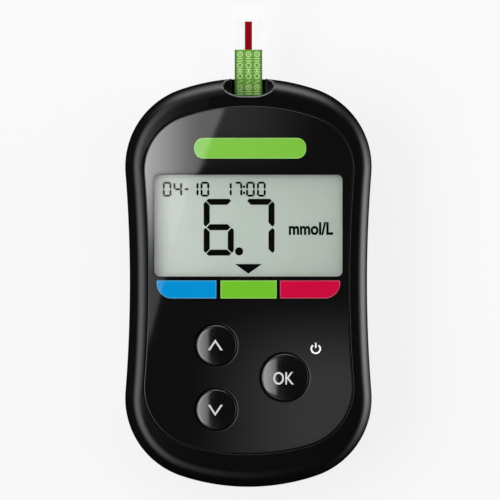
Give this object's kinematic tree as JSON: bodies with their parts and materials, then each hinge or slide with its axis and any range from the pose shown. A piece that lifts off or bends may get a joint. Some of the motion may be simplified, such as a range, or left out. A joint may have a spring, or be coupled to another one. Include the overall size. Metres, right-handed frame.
{
  "type": "blood glucose meter",
  "caption": "Hand-held blood glucose meter with waisted black case, inset display panel, round push keys, scooped strip port holding a test strip, and sliding battery door.",
  "frame": {"origin": "centre of the body outline on the rest plane, with the meter lying on its back", "axes": "+Z out of the display, +Y along the length towards the test strip port, +X to the right of the display"},
  "size_m": [0.0518, 0.0985, 0.016],
  "materials": {
    "black_shell": "glossy moulded black",
    "clear_lens": "clear, polished",
    "printed_film": "black print with colour fields",
    "foam_tape": "black foam adhesive",
    "lcd_polariser": "anti-glare grey-green",
    "lcd_glass": "float glass",
    "lcd_reflector": "satin silver-grey",
    "white_frame": "white moulded",
    "elastomer": "layered silicone",
    "key_plastic": "satin-gloss moulded black",
    "switch_plastic": "moulded black",
    "switch_metal": "nickel plated",
    "board_green": "solder resist green",
    "chip_black": "epoxy moulding",
    "radio_can": "tinned shield",
    "crystal_can": "drawn can",
    "component_brown": "ceramic with tinned ends",
    "connector_plastic": "moulded black",
    "gold_contact": "gold plated",
    "socket_steel": "nickel plated",
    "cell_steel": "drawn nickel steel",
    "spring_steel": "plated spring steel",
    "ribbon_film": "translucent polyester",
    "door_plastic": "fine texture black",
    "screw_steel": "zinc plated",
    "strip_film": "white polyester",
    "electrode_gold": "sputtered gold",
    "strip_adhesive": "white adhesive",
    "reagent_red": "wet red",
    "strip_clear": "clear polyester",
    "strip_green": "printed green"
  },
  "bodies": {
    "meter_body": {"front_housing": "black_shell", "display_lens": "clear_lens", "graphic_film": "printed_film", "lens_tape": "foam_tape", "lcd_polariser": "lcd_polariser", "lcd_front_glass": "lcd_glass", "lcd_rear_glass": "lcd_glass", "lcd_reflector": "lcd_reflector", "lcd_holder": "white_frame", "zebra_strip": "elastomer", "up_switch": "switch_metal", "down_switch": "switch_metal", "ok_switch": "switch_metal", "main_board": "board_green", "microcontroller": "chip_black", "analogue_chip": "chip_black", "radio_module": "radio_can", "clock_crystal": "crystal_can", "chip_components": "component_brown", "strip_connector": "connector_plastic", "strip_contacts": "gold_contact", "data_socket": "socket_steel", "socket_tongue": "connector_plastic", "coin_cell": "cell_steel", "cell_contact_negative": "spring_steel", "cell_contact_positive": "spring_steel", "cell_ribbon": "ribbon_film", "back_housing": "black_shell", "case_screws": "screw_steel"},
    "up_button": {"up_key": "key_plastic", "up_plunger": "switch_plastic"},
    "down_button": {"down_key": "key_plastic", "down_plunger": "switch_plastic"},
    "ok_button": {"ok_key": "key_plastic", "ok_plunger": "switch_plastic"},
    "battery_door": {"battery_door": "door_plastic"},
    "test_strip": {"strip_base": "strip_film", "strip_electrodes": "electrode_gold", "strip_spacer": "strip_adhesive", "reaction_channel": "reagent_red", "strip_window": "strip_clear", "strip_cover": "strip_green"}
  },
  "joints": [
    {"name": "up_press", "type": "slide", "parent": "meter_body", "child": "up_button", "axis": [0, 0, -1], "range_m": [0, 0.00035], "stiffness_N_per_m": 500, "springref_m": -0.0006},
    {"name": "down_press", "type": "slide", "parent": "meter_body", "child": "down_button", "axis": [0, 0, -1], "range_m": [0, 0.00035], "stiffness_N_per_m": 500, "springref_m": -0.0006},
    {"name": "ok_press", "type": "slide", "parent": "meter_body", "child": "ok_button", "axis": [0, 0, -1], "range_m": [0, 0.00035], "stiffness_N_per_m": 500, "springref_m": -0.0006},
    {"name": "door_slide", "type": "slide", "parent": "meter_body", "child": "battery_door", "axis": [0, -1, 0], "range_m": [0, 0.036]},
    {"name": "strip_slide", "type": "slide", "parent": "meter_body", "child": "test_strip", "axis": [0, 1, 0], "range_m": [0, 0.031]}
  ]
}
